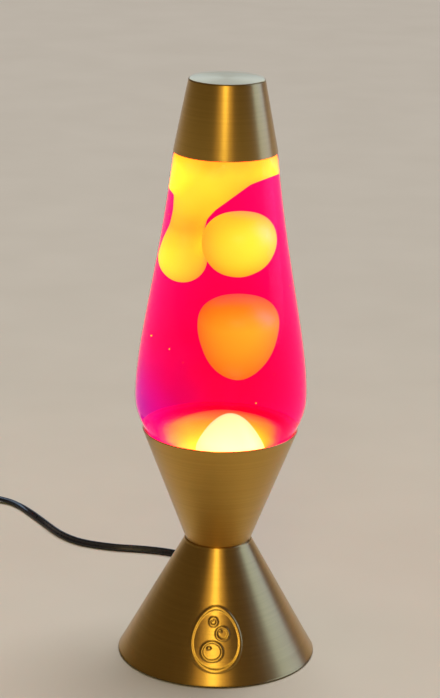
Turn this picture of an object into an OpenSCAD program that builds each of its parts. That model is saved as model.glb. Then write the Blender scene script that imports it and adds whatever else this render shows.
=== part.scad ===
// Table lava lamp: a waisted spun metal base, a lift-off glass globe of liquid and wax,
// a lift-off metal cap, a screw-in bulb, and a flat mains cord with a switch and a plug.
// Millimetres. +Z up, the origin on the lamp's axis at the surface that it stands on, -Y the front.

/* [Base] */
// Radius of the base at the floor
base_r = 70; // [69:0.5:71]
// Height of the waist, where the two cones meet
waist_z = 86; // [85.5:0.5:87]
// Radius of the waist
waist_r = 23.2; // [23:0.1:23.6]
// Height of the rim that holds the globe
rim_z = 168; // [167.8:0.1:168.2]
// Outer radius of that rim
rim_r = 54.4; // [54.2:0.1:54.8]
// Thickness of the spun metal
sheet = 1.2; // [1:0.1:1.3]

/* [Globe] */
// Largest radius of the glass
globe_r = 60.1; // [59:0.1:61]
// Height of the largest radius
globe_z = 192; // [190:1:195]
// Thickness of the glass
glass_wall = 2.5; // [2:0.1:3]

/* [Cap] */
// Lower edge of the cap
cap_z = 364; // [363.5:0.1:364.5]
// Height of the cap
cap_h = 50; // [46:1:52]
// Outer radius of the cap's lower edge
cap_r = 35.6; // [35.5:0.1:36]
// Outer radius of the cap's top
cap_top_r = 26.1; // [25:0.1:27]

/* [Wax] */
// Radius of the upper floating blob
blob_r = 25; // [22:0.5:25]
// Radius of the middle floating blob
egg_r = 28; // [24:0.5:28]

/* [Bulb] */
// Height of the bulb's centre contact
contact_z = 50; // [49.8:0.1:50.2]
// Radius of the bulb's envelope
bulb_r = 24; // [22:0.5:24]
// Overall length of the bulb
bulb_len = 86; // [84:1:86]

/* [Cord] */
// Width of the flat twin cord
cord_w = 5.6; // [5:0.1:6]
// Thickness of the flat twin cord
cord_t = 2.8; // [2.6:0.1:3]
// Turns beside each other in the stored coil
coil_columns = 2; // [2:1:2]
// Layers of turns in the stored coil
coil_layers = 3; // [2:1:3]

/* [Hidden] */

$fn = 96;
hair = 0.3;          // gap between curved faces of pieces that come apart

gold = [0.72, 0.56, 0.25];
steel = [0.72, 0.73, 0.75];
brass = [0.8, 0.62, 0.3];
black = [0.08, 0.08, 0.09];

// Base: heights of its layers
foot_h = 1.8;                          // the feet lift the cover off the floor
edge_z = 0.8;                          // lower edge of the skirt
cover_z = foot_h;
cover_t = 1.2;
ledge_z = cover_z + cover_t;           // turned-in ledge that the cover screws to
ledge_r = 56;
cover_r = 64;
lip_r = waist_r + 0.7;                 // top edge of the lower cone, a small lip under the waist
flange_r = 16.6;                       // opening through the waist
flange_z = waist_z - sheet;            // underside of the lower cone's top flange
waist_screw_r = 19.2;                  // radius of the ring of screws through the waist
skirt_slope = (base_r - lip_r) / (flange_z - edge_z);
bowl_slope = (rim_r - waist_r) / (rim_z - waist_z);
slant = 1.15;                          // horizontal thickness of a sloped sheet, in sheets

function skirt_r(z) = base_r - skirt_slope * (z - edge_z);
function bowl_r(z) = waist_r + bowl_slope * (z - waist_z);

// Socket and bulb: an E26 screw, 7 threads to the inch
pitch = 25.4 / 7;
thread_r = 12.7;                       // middle of the bulb's thread
thread_a = 0.4;                        // half of its depth
thread_gap = 0.35;
socket_r = 17.5;
socket_z = 38;
socket_top = 78.5;
bar_t = 1.2;
bulb_top = contact_z + bulb_len;
shell_z = contact_z + 4.5;
shell_top = contact_z + 25;
bulb_mid = bulb_top - bulb_r;          // centre of the envelope's round end

// Cap and bottle neck
neck_r = 14.5;
neck_z = 386;
mouth_z = 399;
crown_z = 402;

// Strain relief and cord exit at the back of the skirt
exit_z = 10;
exit_y = 64.5;
boot_tip = [0, 96, 4];
boot_drop = atan((exit_z - boot_tip.z) / (boot_tip.y - exit_y));
boot_len = norm([boot_tip.y - exit_y, exit_z - boot_tip.z]);

// The cord's route along the floor, chosen by hand: from the boot to the switch
lead_route = [
    boot_tip, [0, 104, 2.7], [0, 114, 1.9], [-1, 126, 1.6], [-4, 140, 1.6], [-10, 153, 1.6],
    [-20, 164, 1.6], [-34, 173, 1.6], [-48, 178, 1.6], [-64, 181, 1.6], [-80, 183, 1.6],
    [-95, 187, 1.6], [-109, 193, 1.6], [-120, 202, 1.6], [-129, 213, 1.6], [-138, 228, 1.6],
    [-147, 244, 1.6], [-156, 260, 1.6], [-165, 274, 1.8], [-174, 283, 2.3], [-185, 288, 3.2],
    [-193, 290, 4], [-200, 290, 4.4]];
// from the switch to the coil
tail_route = [
    [-246, 290, 4.4], [-254, 289, 3.8], [-263, 285, 2.8], [-271, 277, 2.2], [-276, 266, 2],
    [-278, 254, 2], [-278, 246, 2]];
// and from the coil to the plug
end_route = [
    [-272, 228, 8.2], [-272, 221, 9.6], [-272, 213, 10.8], [-271.5, 205, 10.4], [-270, 196, 8.8],
    [-269, 187, 7.4], [-268, 178, 6.8]];
// inside the base, from the strain relief up into the nipple under the socket
inner_route = [
    [0, 58, 11.3], [0, 48, 9.6], [0, 37, 8], [0, 26, 7.6], [0, 16, 9.5], [0, 8, 14.5],
    [0, 3, 21.5], [0, 0.6, 29], [0, 0, 36], [0, 0, 42]];

coil_at = [-242, 234];
coil_r = 33;                           // middle of the bundle of turns
coil_z = 0.6;
column_step = 6;
layer_step = 2.9;
coil_half_w = (coil_columns - 1) * column_step / 2 + cord_w / 2;
coil_h = (coil_layers - 1) * layer_step + cord_t + 0.1;

// Switch and plug
switch_at = [-223, 290];
switch_l = 46;
switch_w = 20;
switch_z = 0.3;
switch_split = 7;
switch_h = 14.2;
wheel_r = 11.6;
wheel_z = 7.6;
wheel_t = 3.6;
plug_at = [-268, 178, 6.8];
plug_l = 30;
plug_w = 25;
plug_h = 13;

// ---- outlines -------------------------------------------------------------

function bezier(a, b, c, d, n) = [for (i = [0 : n]) let (t = i / n, s = 1 - t)
    s * s * s * a + 3 * s * s * t * b + 3 * s * t * t * c + t * t * t * d];

// Outline of the glass, or of what it holds when it is drawn in by the wall: from the edge of
// the bottom up to the mouth, as points [radius, height].
function glass_side(in) = concat(
    [[38 - in * 0.8, 146 + in]],
    bezier([41 - in * 0.8, 146 + in], [43.5 - in, 146 + in], [44.6 - in, 148.6 + in * 0.6],
        [45.2 - in, 151.5 + in * 0.4], 5),
    bezier([52.5 - in, 167], [55.4 - in, 172.6], [globe_r - in, 180], [globe_r - in, globe_z], 12),
    bezier([globe_r - in, globe_z], [globe_r - in, 230], [45.6 - in, 277], [36 - in, 361], 22),
    [[35.4 - in, 362.9], [34.2 - in, 363.7]],
    bezier([33 - in, 364.6], [29 - in, 371], [neck_r - in + (in > 0 ? 0 : 0.6), 376],
        [neck_r - in, neck_z], 8));

function bottom_z(in) = 149.4 + in * 0.9;

module glass_outside() {
    polygon(concat([[0, bottom_z(0)], [14, bottom_z(0)]], glass_side(0),
        [[neck_r, 394], [15.6, 395], [15.6, mouth_z], [0, mouth_z]]));
}

// The inside of the glass up to a level, drawn in by a further film
module glass_inside(film, level) {
    in = glass_wall + film;
    intersection() {
        polygon(concat([[0, bottom_z(in)], [14, bottom_z(in)]], glass_side(in),
            [[neck_r - in, mouth_z + 1], [0, mouth_z + 1]]));
        square([globe_r, level]);
    }
}

// ---- helpers --------------------------------------------------------------

module ring(r_out, r_in, z0, z1) {
    translate([0, 0, z0]) rotate_extrude() translate([r_in, 0]) square([r_out - r_in, z1 - z0]);
}

module disc(r, z0, z1) {
    translate([0, 0, z0]) cylinder(r = r, h = z1 - z0);
}

module around(count, r, start = 0) {
    for (i = [0 : count - 1]) rotate([0, 0, start + i * 360 / count]) translate([r, 0, 0]) children();
}

// Catmull-Rom curve through a route's points, with n steps to each span
function smooth(p, n) = let (m = len(p) - 1) concat([for (i = [0 : m - 1], k = [0 : n - 1])
    let (a = p[max(i - 1, 0)], b = p[i], c = p[i + 1], d = p[min(i + 2, m)], t = k / n)
    0.5 * (2 * b + (c - a) * t + (2 * a - 5 * b + 4 * c - d) * t * t
        + (3 * b - a - 3 * c + d) * t * t * t)], [p[m]]);
function unit(v) = v / norm(v);

// A flat cord swept along a route, its wide side kept across the axis called side
module swept_cord(route, n, side_of = [0, 0, 1]) {
    p = smooth(route, n);
    m = len(p) - 1;
    sides = 8;
    rings = [for (i = [0 : m])
        let (t = unit(p[min(i + 1, m)] - p[max(i - 1, 0)]),
            s = unit(cross(t, side_of)), u = cross(s, t))
        for (k = [0 : sides - 1]) p[i] + s * cos(k * 45) * cord_w / 2 + u * sin(k * 45) * cord_t / 2];
    polyhedron(rings, concat(
        [[for (k = [0 : sides - 1]) k]],
        [for (i = [0 : m - 1], k = [0 : sides - 1]) let (a = i * sides, b = (k + 1) % sides)
            [a + k, a + sides + k, a + sides + b, a + b]],
        [[for (k = [sides - 1 : -1 : 0]) m * sides + k]]), convexity = 10);
}

// A sleeve from z0 to z1 with a plain wall at plain_r and an E26 thread round mid_r on its other side
module threaded_sleeve(mid_r, plain_r, z0, z1) {
    columns = 36;
    rows = round((z1 - z0) / (pitch / 6));
    function wave(z, a) = mid_r + thread_a * cos(360 * (z - shell_z) / pitch - a);
    function grid(i, k) = i * columns + k % columns;
    far = (rows + 1) * columns;
    flip = plain_r > mid_r;
    threaded = [for (i = [0 : rows], k = [0 : columns - 1])
        let (z = z0 + (z1 - z0) * i / rows, a = k * 360 / columns, r = wave(z, a))
        [r * cos(a), r * sin(a), z]];
    plain = [for (z = [z0, z1], k = [0 : columns - 1])
        let (a = k * 360 / columns) [plain_r * cos(a), plain_r * sin(a), z]];
    thread_faces = [for (i = [0 : rows - 1], k = [0 : columns - 1], half = [0, 1])
        half == 0 ? [grid(i, k), grid(i + 1, k + 1), grid(i, k + 1)]
            : [grid(i, k), grid(i + 1, k), grid(i + 1, k + 1)]];
    plain_faces = [for (k = [0 : columns - 1])
        [far + grid(0, k), far + grid(0, k + 1), far + grid(1, k + 1), far + grid(1, k)]];
    low_faces = [for (k = [0 : columns - 1])
        [grid(0, k), grid(0, k + 1), far + grid(0, k + 1), far + grid(0, k)]];
    high_faces = [for (k = [0 : columns - 1])
        [grid(rows, k), far + grid(1, k), far + grid(1, k + 1), grid(rows, k + 1)]];
    faces = concat(thread_faces, plain_faces, low_faces, high_faces);
    polyhedron(concat(threaded, plain),
        [for (f = faces) flip ? [for (i = [len(f) - 1 : -1 : 0]) f[i]] : f], convexity = 10);
}

// ---- base -----------------------------------------------------------------

module skirt_solid(inset) {
    rotate_extrude() polygon([[0, edge_z], [base_r - inset, edge_z],
        [skirt_r(flange_z) - inset, flange_z], [0, flange_z]]);
}

module lower_cone() {
    wall = sheet * slant;
    color(gold) difference() {
        rotate_extrude() polygon([
            [base_r - 1.6, edge_z], [base_r - 0.5, edge_z + 0.1], [base_r, edge_z + 0.7],
            [skirt_r(flange_z - 0.6), flange_z - 0.6], [lip_r - 0.2, flange_z + 0.6],
            [lip_r - 0.9, waist_z], [flange_r, waist_z], [flange_r, flange_z],
            [lip_r - wall, flange_z], [skirt_r(ledge_z + sheet) - wall, ledge_z + sheet],
            [ledge_r, ledge_z + sheet], [ledge_r, ledge_z], [base_r - 2.8, ledge_z],
            [base_r - 2.2, edge_z + 0.6]]);
        translate([0, exit_y, exit_z]) rotate([-90 - boot_drop, 0, 0])
            translate([0, 0, -8]) cylinder(r = 4, h = 16);
        around(4, waist_screw_r, 45) disc(1.35, flange_z - 1, waist_z + 1);
        around(4, 60, 45) disc(1.4, ledge_z - 1, ledge_z + 2);
    }
}

module upper_cone() {
    wall = sheet * slant;
    color(gold) difference() {
        rotate_extrude() polygon([
            [flange_r, waist_z], [waist_r - 0.4, waist_z], [waist_r, waist_z + 0.5],
            [rim_r, rim_z - 0.6], [rim_r - 0.3, rim_z - 0.1], [rim_r - 0.7, rim_z],
            [rim_r - 1.1, rim_z - 0.1], [rim_r - wall, rim_z - 0.6],
            [bowl_r(waist_z + sheet) - wall, waist_z + sheet], [flange_r, waist_z + sheet]]);
        around(4, waist_screw_r, 45) disc(1.35, waist_z - 1, waist_z + 3);
    }
}

module waist_screws() {
    top = waist_z + sheet;
    color(steel) around(4, waist_screw_r, 45) {
        disc(1.25, flange_z - 4.6, top);
        translate([0, 0, top]) intersection() {
            cylinder(r = 2.1, h = 1.4);
            translate([0, 0, -1.6]) sphere(r = 3);
        }
    }
}

module waist_nuts() {
    low = flange_z - bar_t - 2.1;
    color(steel) around(4, waist_screw_r, 45) difference() {
        translate([0, 0, low]) cylinder(r = 2.8, h = 2.1, $fn = 6);
        disc(1.26, low - 1, low + 3);
    }
}

module socket_bracket() {
    leg_x = 19.6;
    low = socket_z - bar_t;
    color(steel) difference() {
        union() {
            ring(21.6, flange_r + 0.4, flange_z - bar_t, flange_z);
            translate([0, 0, low + bar_t / 2]) cube([2 * leg_x + 1, 10, bar_t], center = true);
            disc(8, low, low + bar_t);
            for (side = [0, 180]) rotate([0, 0, side])
                translate([leg_x, -5, low]) cube([bar_t, 10, flange_z - bar_t / 2 - low]);
        }
        disc(5, low - 1, low + 2);
        around(4, waist_screw_r, 45) disc(1.35, flange_z - 3, flange_z + 1);
    }
}

module socket_nipple() {
    color(brass) ring(4.9, 3.4, 32, 43);
}

module socket_locknut() {
    top = socket_z - bar_t;
    color(brass) difference() {
        translate([0, 0, top - 3]) cylinder(r = 8, h = 3, $fn = 6);
        disc(4.92, top - 4, top + 1);
    }
}

module socket_body() {
    color(black) difference() {
        rotate_extrude() polygon([
            [0, socket_z], [14, socket_z], [15.5, socket_z + 1.5], [15.5, socket_z + 12],
            [socket_r, socket_z + 14], [socket_r, socket_top - 1], [socket_r - 1, socket_top],
            [0, socket_top]]);
        disc(14.4, 47, socket_top + 1);
        disc(4.95, socket_z - 1, 43.5);
        disc(3, 43, 48);
        for (side = [0, 180]) rotate([0, 0, side]) translate([0, 10.5, 44]) rotate([-90, 0, 0])
            cylinder(r = 1.55, h = 8);
    }
}

module socket_shell() {
    color(brass) threaded_sleeve(thread_r + thread_gap, 14.2, contact_z + 0.3, 77);
}

module socket_contact() {
    color(brass) union() {
        disc(2.9, 44.2, 47);
        disc(5, 47, 47.8);
        disc(3.4, 47.8, contact_z - 0.05);
    }
}

module terminal_screws() {
    color(brass) for (side = [0, 180]) rotate([0, 0, side]) translate([0, 11, 44]) rotate([-90, 0, 0]) {
        cylinder(r = 1.5, h = 4.6);
        difference() {
            translate([0, 0, 4.6]) cylinder(r = 3.2, h = 1.8);
            translate([-4, -0.4, 5.7]) cube([8, 0.8, 2]);
        }
    }
}

module bottom_cover() {
    color(black) difference() {
        disc(cover_r, cover_z, ledge_z);
        around(4, 60, 45) disc(1.6, cover_z - 1, ledge_z + 1);
        around(8, 26) disc(3, cover_z - 1, ledge_z + 1);
    }
}

module cover_screws() {
    color(steel) around(4, 60, 45) {
        disc(1.35, cover_z, ledge_z + 4);
        difference() {
            disc(2.8, cover_z - 1.2, cover_z);
            translate([-2, -0.35, 0]) cube([4, 0.7, 1.1]);
            translate([-0.35, -2, 0]) cube([0.7, 4, 1.1]);
        }
    }
}

module rubber_feet() {
    color(black) around(4, 48) rotate_extrude() polygon([
        [0, 0], [5.6, 0], [6.2, 0.6], [6.4, foot_h], [0, foot_h]]);
}

module inner_cord() {
    color(black) swept_cord(inner_route, 2, [0, 0.6, 0.8]);
}

// ---- cord -----------------------------------------------------------------

module boot_at() {
    translate([0, exit_y, exit_z]) rotate([-90 - boot_drop, 0, 0]) children();
}

// A bushing snapped into the skirt, with a tapered boot along the cord
module strain_relief() {
    color(black) union() {
        boot_at() translate([0, 0, -5.5]) cylinder(r = 3.9, h = 9);
        difference() {
            boot_at() {
                translate([0, 0, -4]) cylinder(r1 = 5.4, r2 = 5.2, h = 8.5);
                cylinder(r1 = 4.6, r2 = 3.3, h = boot_len);
                for (i = [0 : 4]) translate([0, 0, 8 + 4.6 * i]) cylinder(r = 4.75 - 0.2 * i, h = 2.2);
            }
            skirt_solid(-0.35);
        }
        intersection() {
            boot_at() translate([0, 0, -6.6]) cylinder(r = 5.2, h = 9);
            skirt_solid(sheet * slant + 0.35);
        }
    }
}

module cord_lead() {
    color(black) swept_cord(lead_route, 2);
}

module cord_tail() {
    color(black) swept_cord(tail_route, 2);
}

module cord_end() {
    color(black) swept_cord(end_route, 2);
}

module cord_coil() {
    color(black) translate([coil_at.x, coil_at.y, coil_z]) rotate_extrude()
        translate([coil_r - coil_half_w, 0]) polygon([
            [1, 0], [2 * coil_half_w - 1, 0], [2 * coil_half_w, 1], [2 * coil_half_w, coil_h - 1],
            [2 * coil_half_w - 1, coil_h], [1, coil_h], [0, coil_h - 1], [0, 1]]);
}

module cord_tie() {
    band = 0.5;
    slack = 0.15;
    inner_w = 2 * coil_half_w + 2 * slack;
    color([0.2, 0.2, 0.22]) translate([coil_at.x - 2, coil_at.y - coil_r, 0]) difference() {
        translate([0, -inner_w / 2 - band, 0.05])
            cube([4, inner_w + 2 * band, coil_z + coil_h + 2 * band - 0.05]);
        translate([-1, -inner_w / 2, 0.05 + band])
            cube([6, inner_w, coil_z + coil_h + slack - band]);
    }
}

module at_switch() {
    translate([switch_at.x, switch_at.y, 0]) children();
}

module switch_plan(z0, z1, grow = 0) {
    translate([0, 0, z0]) linear_extrude(z1 - z0) hull()
        for (x = [-1, 1], y = [-1, 1])
            translate([x * (switch_l / 2 - 5), y * (switch_w / 2 - 5)]) circle(r = 5 + grow, $fn = 32);
}

module switch_screw_holes(r, z0, z1) {
    for (side = [-1, 1]) translate([side * 15.5, side * 6, 0]) disc(r, z0, z1);
}

module switch_base() {
    color(black) at_switch() difference() {
        union() {
            switch_plan(switch_z, switch_split);
            disc(2, switch_split, wheel_z + wheel_t + 1);
        }
        translate([-switch_l / 2 - 1, -cord_w / 2 - 0.2, 2.7]) cube([switch_l + 2, cord_w + 0.4, 3.3]);
        switch_screw_holes(1.3, 0, 8);
        switch_screw_holes(2.4, 0, 1.7);
    }
}

module switch_top() {
    roof = wheel_z + wheel_t + 0.5;
    color(black) at_switch() difference() {
        union() {
            switch_plan(switch_split, switch_h - 1.4);
            switch_plan(switch_h - 1.4, switch_h, -1);
        }
        disc(wheel_r + 0.6, switch_split - 1, roof);
        disc(2.4, roof - 1, wheel_z + wheel_t + 1.2);
        switch_screw_holes(1.25, switch_split - 1, 11.4);
    }
}

module switch_wheel() {
    color([0.15, 0.15, 0.16]) at_switch() difference() {
        disc(wheel_r, wheel_z, wheel_z + wheel_t);
        disc(2.05, wheel_z - 1, wheel_z + wheel_t + 1);
        around(24, wheel_r + 0.35) disc(0.9, wheel_z - 1, wheel_z + wheel_t + 1);
    }
}

module switch_screws() {
    color(steel) at_switch() {
        switch_screw_holes(1.2, 1.7, 11);
        switch_screw_holes(2.3, 0.6, 1.7);
    }
}

module plug_body() {
    color(black) translate(plug_at) difference() {
        hull() {
            translate([0, -plug_l + 1, 0]) rotate([90, 0, 0]) linear_extrude(1) plug_outline(plug_w, plug_h);
            translate([0, -15, 0]) rotate([90, 0, 0]) linear_extrude(1) plug_outline(plug_w, plug_h);
            translate([0, -5, 0]) rotate([90, 0, 0]) linear_extrude(1) plug_outline(16, 9.4);
            rotate([90, 0, 0]) linear_extrude(1) plug_outline(10, 6.6);
        }
        for (side = [-1, 1]) translate([side * 6.35 - 0.75, -plug_l - 1, -blade_w(side) / 2])
            cube([1.5, 9, blade_w(side)]);
    }
}

module plug_outline(w, h) {
    hull() for (x = [-1, 1], y = [-1, 1])
        translate([x * (w / 2 - 3), y * (h / 2 - 3)]) circle(r = 3, $fn = 32);
}

// One blade is wider than the other, so that the plug goes in only one way round
function blade_w(side) = side > 0 ? 7.9 : 6.35;

module plug_blades() {
    color(brass) translate(plug_at) for (side = [-1, 1]) difference() {
        translate([side * 6.35 - 0.75, -plug_l - 16, -blade_w(side) / 2]) cube([1.5, 24, blade_w(side)]);
        translate([side * 6.35 - 2, -plug_l - 12.3, 0]) rotate([0, 90, 0]) cylinder(r = 1.6, h = 4);
    }
}

// ---- globe ----------------------------------------------------------------

module glass_globe() {
    color([0.95, 0.55, 0.65, 0.35]) rotate_extrude() difference() {
        glass_outside();
        glass_inside(0, mouth_z + 1);
    }
}

film = 0.5;
liquid_top = 391;
pool_z = 165;
mound = [7, -8];
mound_r = 27;
lobe = [-27, 10, 286.8];
lobe_r = 16;
blob_at = [10.4, -10, 303.4];
egg_at = [11, -6, 244.5];

module pool_solid(grow = 0) {
    union() {
        rotate_extrude() glass_inside(film - grow, pool_z + grow);
        intersection() {
            translate([mound.x, mound.y, pool_z - 11]) sphere(r = mound_r + grow);
            translate([-50, -50, pool_z - 1]) cube([100, 100, 40]);
        }
    }
}

// The wax that has gathered under the shoulder, and the lobe that sinks from it
module top_solid() {
    intersection() {
        union() {
            translate([0, 0, 349]) cylinder(r = 40, h = 26);
            hull() {
                translate([-8, 0, 350]) sphere(r = 24, $fn = 32);
                translate([-17.5, 3, 335.5]) sphere(r = 16.2, $fn = 32);
            }
            hull() {
                translate([-17.5, 3, 335.5]) sphere(r = 16.2, $fn = 32);
                translate([-22.5, 7, 318]) sphere(r = 12, $fn = 32);
            }
            hull() {
                translate([-22.5, 7, 318]) sphere(r = 12, $fn = 32);
                translate(lobe) sphere(r = lobe_r, $fn = 32);
            }
        }
        rotate_extrude() glass_inside(film, 380);
    }
}

// Outline of a floating blob, from its lowest point to its highest: fuller above than below
module blob_solid(r, low, high, point, grow = 0) {
    steps = 20;
    rotate_extrude() polygon(concat([[0, -low - grow]], [for (i = [1 : steps - 1])
        let (a = -90 + 180 * i / steps, shape = a < 0 ? pow(cos(a), point) : pow(cos(a), 0.9))
        [(r + grow) * shape, (a < 0 ? low + grow : high + grow) * sin(a)]], [[0, high + grow]]));
}

module blob_shape(grow = 0) {
    translate(blob_at) blob_solid(blob_r, 23.5, 20.8, 0.9, grow);
}

module egg_shape(grow = 0) {
    translate(egg_at) blob_solid(egg_r, 39.5, 19.8, 1.1, grow);
}

module liquid() {
    color([1, 0.05, 0.3, 0.5]) difference() {
        rotate_extrude() glass_inside(0, liquid_top);
        pool_solid();
        top_solid();
        blob_shape(hair);
        egg_shape(hair);
    }
}

module wax_pool() {
    color([1, 0.85, 0.3]) difference() {
        pool_solid();
        wire_torus();
    }
}

module wire_torus() {
    translate([0, 0, 154.6]) rotate_extrude() translate([27, 0]) circle(r = 2.4, $fn = 32);
}

module wire_coil() {
    color(steel) wire_torus();
}

module wax_top() {
    color([1, 0.85, 0.1]) top_solid();
}

module wax_blob_upper() {
    color([1, 0.85, 0.1]) blob_shape();
}

module wax_blob_middle() {
    color([1, 0.6, 0.05]) egg_shape();
}

module crown_cap() {
    color(gold) rotate_extrude() polygon([
        [0, crown_z - 0.4], [14.6, crown_z - 0.4], [15.7, crown_z - 1.4], [15.9, 395.4],
        [16.6, 395.4], [16.4, crown_z - 1.1], [14.9, crown_z], [0, crown_z]]);
}

module crown_liner() {
    color([0.9, 0.9, 0.88]) disc(14.4, mouth_z, crown_z - 0.4);
}

// ---- cap ------------------------------------------------------------------

module top_cap() {
    top = cap_z + cap_h;
    skin = 1;
    corner = 1.6;
    color(gold) rotate_extrude() polygon(concat(
        [[cap_r - skin, cap_z], [cap_r - 0.3, cap_z], [cap_r, cap_z + 0.4]],
        [for (a = [0 : 15 : 90]) [cap_top_r - corner + corner * cos(a), top - corner + corner * sin(a)]],
        [[0, top], [0, top - skin - 0.2], [cap_top_r - corner - 0.2, top - skin - 0.2],
            [cap_top_r - skin - 0.1, top - corner - 0.6]]));
}

// ---- bulb -----------------------------------------------------------------

neck_end = 72;

module envelope_outline(in) {
    neck = 11.9 - in;
    polygon(concat(
        [[0, neck_end], [neck - 0.6, neck_end], [neck, neck_end + 2], [neck, shell_top + 0.2],
            [neck + 0.3, shell_top + 0.9]],
        bezier([12.3 - in, 78.5], [13.6 - in, 92], [bulb_r - in, 97], [bulb_r - in, bulb_mid], 10),
        [for (a = [9 : 9 : 90]) [(bulb_r - in) * cos(a), bulb_mid + (bulb_r - in) * sin(a)]]));
}

module bulb_envelope() {
    color([0.95, 0.95, 0.92, 0.6]) rotate_extrude() difference() {
        envelope_outline(0);
        translate([0, -0.01]) envelope_outline(0.8);
    }
}

module bulb_shell() {
    color(steel) threaded_sleeve(thread_r, 12.1, shell_z, shell_top);
}

module bulb_insulator() {
    color(black) rotate_extrude() polygon([
        [0, contact_z + 1], [5.4, contact_z + 1], [7, contact_z + 2], [11.6, shell_z],
        [12, shell_z], [12, shell_z + 1.2], [0, shell_z + 1.2]]);
}

module bulb_contact() {
    color(steel) rotate_extrude() polygon([
        [0, contact_z], [3.4, contact_z], [4.6, contact_z + 0.5], [4.8, contact_z + 1], [0, contact_z + 1]]);
}

wire_x = 8;
wire_top = 112;

module bulb_stem() {
    color([0.8, 0.85, 0.85, 0.6]) union() {
        rotate_extrude() polygon([[0, 68], [4, 68], [10.4, neck_end], [10.4, neck_end + 1],
            [4.6, neck_end + 1.6], [3.4, 78], [3, 94], [1.6, 98], [0, 98]]);
        for (side = [-1, 1]) hull() {
            translate([side * 2, 0, 93]) sphere(r = 0.4, $fn = 16);
            translate([side * wire_x, 0, wire_top]) sphere(r = 0.4, $fn = 16);
        }
    }
}

module bulb_filament() {
    color([0.4, 0.4, 0.42]) translate([-wire_x + 0.6, 0, wire_top]) rotate([0, 90, 0])
        cylinder(r = 0.5, h = 2 * wire_x - 1.2);
}

lower_cone();
upper_cone();
waist_screws();
waist_nuts();
socket_bracket();
socket_nipple();
socket_locknut();
socket_body();
socket_shell();
socket_contact();
terminal_screws();
bottom_cover();
cover_screws();
rubber_feet();
inner_cord();
strain_relief();
cord_lead();
switch_base();
switch_top();
switch_wheel();
switch_screws();
cord_tail();
cord_coil();
cord_tie();
cord_end();
plug_body();
plug_blades();
glass_globe();
liquid();
wax_pool();
wire_coil();
wax_top();
wax_blob_upper();
wax_blob_middle();
crown_cap();
crown_liner();
top_cap();
bulb_envelope();
bulb_shell();
bulb_insulator();
bulb_contact();
bulb_stem();
bulb_filament();
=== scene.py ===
"""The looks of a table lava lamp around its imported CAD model. Metres, +Z up, -Y the front."""
import math
import random

import bpy
from mathutils import Matrix, Vector, noise


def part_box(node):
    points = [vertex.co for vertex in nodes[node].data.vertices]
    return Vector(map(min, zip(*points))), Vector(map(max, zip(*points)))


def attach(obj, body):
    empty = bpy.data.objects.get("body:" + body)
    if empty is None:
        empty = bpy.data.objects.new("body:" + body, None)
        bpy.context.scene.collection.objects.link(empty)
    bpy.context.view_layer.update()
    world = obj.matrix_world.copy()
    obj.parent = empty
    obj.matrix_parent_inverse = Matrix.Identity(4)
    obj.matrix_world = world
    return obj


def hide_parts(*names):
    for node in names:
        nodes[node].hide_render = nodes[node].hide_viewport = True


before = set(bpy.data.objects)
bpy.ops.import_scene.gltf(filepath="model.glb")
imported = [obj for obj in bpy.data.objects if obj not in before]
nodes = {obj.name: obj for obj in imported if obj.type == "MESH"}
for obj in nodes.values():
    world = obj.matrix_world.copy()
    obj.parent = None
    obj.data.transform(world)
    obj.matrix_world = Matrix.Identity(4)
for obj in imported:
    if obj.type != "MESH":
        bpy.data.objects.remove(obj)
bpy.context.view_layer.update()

MM = 0.001
random.seed(7)

# ---- places, from the frame ----------------------------------------------------------

base_low, base_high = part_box("lower_cone")
bowl_low, bowl_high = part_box("upper_cone")
cap_low, cap_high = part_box("top_cap")
base_r = base_high.x
bowl_r = bowl_high.x

# ---- sizes and curves ----------------------------------------------------------------

SHEET = 1.2 * MM            # thickness of the cones' metal
WAIST_HOLE = 16.6 * MM      # radius of the hole through the cones' flanges
ROUND = 192                 # columns of the largest turned pieces
ALL_SMOOTH = 180            # an angle that leaves no edge sharp


def clamp(t):
    return max(0.0, min(1.0, t))


def ease(t):
    """A step from 0 to 1 that is level at both ends, for t from 0 to 1."""
    return t * t * (3 - 2 * t)


def on_circle(radius, k, count):
    """The x and y of the k-th of count points round a circle."""
    a = 2 * math.pi * k / count
    return radius * math.cos(a), radius * math.sin(a)


def bezier(a, b, c, d, count):
    """Points of a cubic curve, both ends included."""
    made = []
    for i in range(count + 1):
        t = i / count
        s = 1 - t
        made.append(tuple(s ** 3 * p + 3 * s * s * t * q + 3 * s * t * t * u + t ** 3 * v
                          for p, q, u, v in zip(a, b, c, d)))
    return made


# The outside of the globe as (r, z), from its foot up into the neck
GLASS_SIDE = [(r * MM, z * MM) for r, z in (
    [(38, 146)]
    + bezier((41, 146), (43.5, 146), (44.6, 148.6), (45.2, 151.5), 6)
    + bezier((52.5, 167), (55.4, 172.6), (60.1, 180), (60.1, 192), 16)
    + bezier((60.1, 192), (60.1, 230), (45.6, 277), (36, 361), 40)[1:]
    + [(35.4, 362.9), (34.2, 363.7)]
    + bezier((33, 364.6), (29, 371), (15.1, 376), (14.5, 386), 14))]


def glass_radius(z):
    """The radius of the globe's outside at one height."""
    if z <= GLASS_SIDE[0][1]:
        return GLASS_SIDE[0][0]
    for (r0, z0), (r1, z1) in zip(GLASS_SIDE, GLASS_SIDE[1:]):
        if z <= z1:
            return r0 + (r1 - r0) * (z - z0) / max(z1 - z0, 1e-9)
    return GLASS_SIDE[-1][0]


# ---- mesh tools ----------------------------------------------------------------------


def add_mesh(name, points, faces, sharp=35):
    mesh = bpy.data.meshes.new(name)
    mesh.from_pydata([tuple(p) for p in points], [], faces)
    mesh.validate()
    mesh.update()
    piece = bpy.data.objects.new(name, mesh)
    bpy.context.scene.collection.objects.link(piece)
    smooth(piece, sharp)
    return piece


def smooth(piece, sharp=35):
    mesh = piece.data
    mesh.polygons.foreach_set("use_smooth", [True] * len(mesh.polygons))
    mesh.set_sharp_from_angle(angle=math.radians(sharp))


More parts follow.
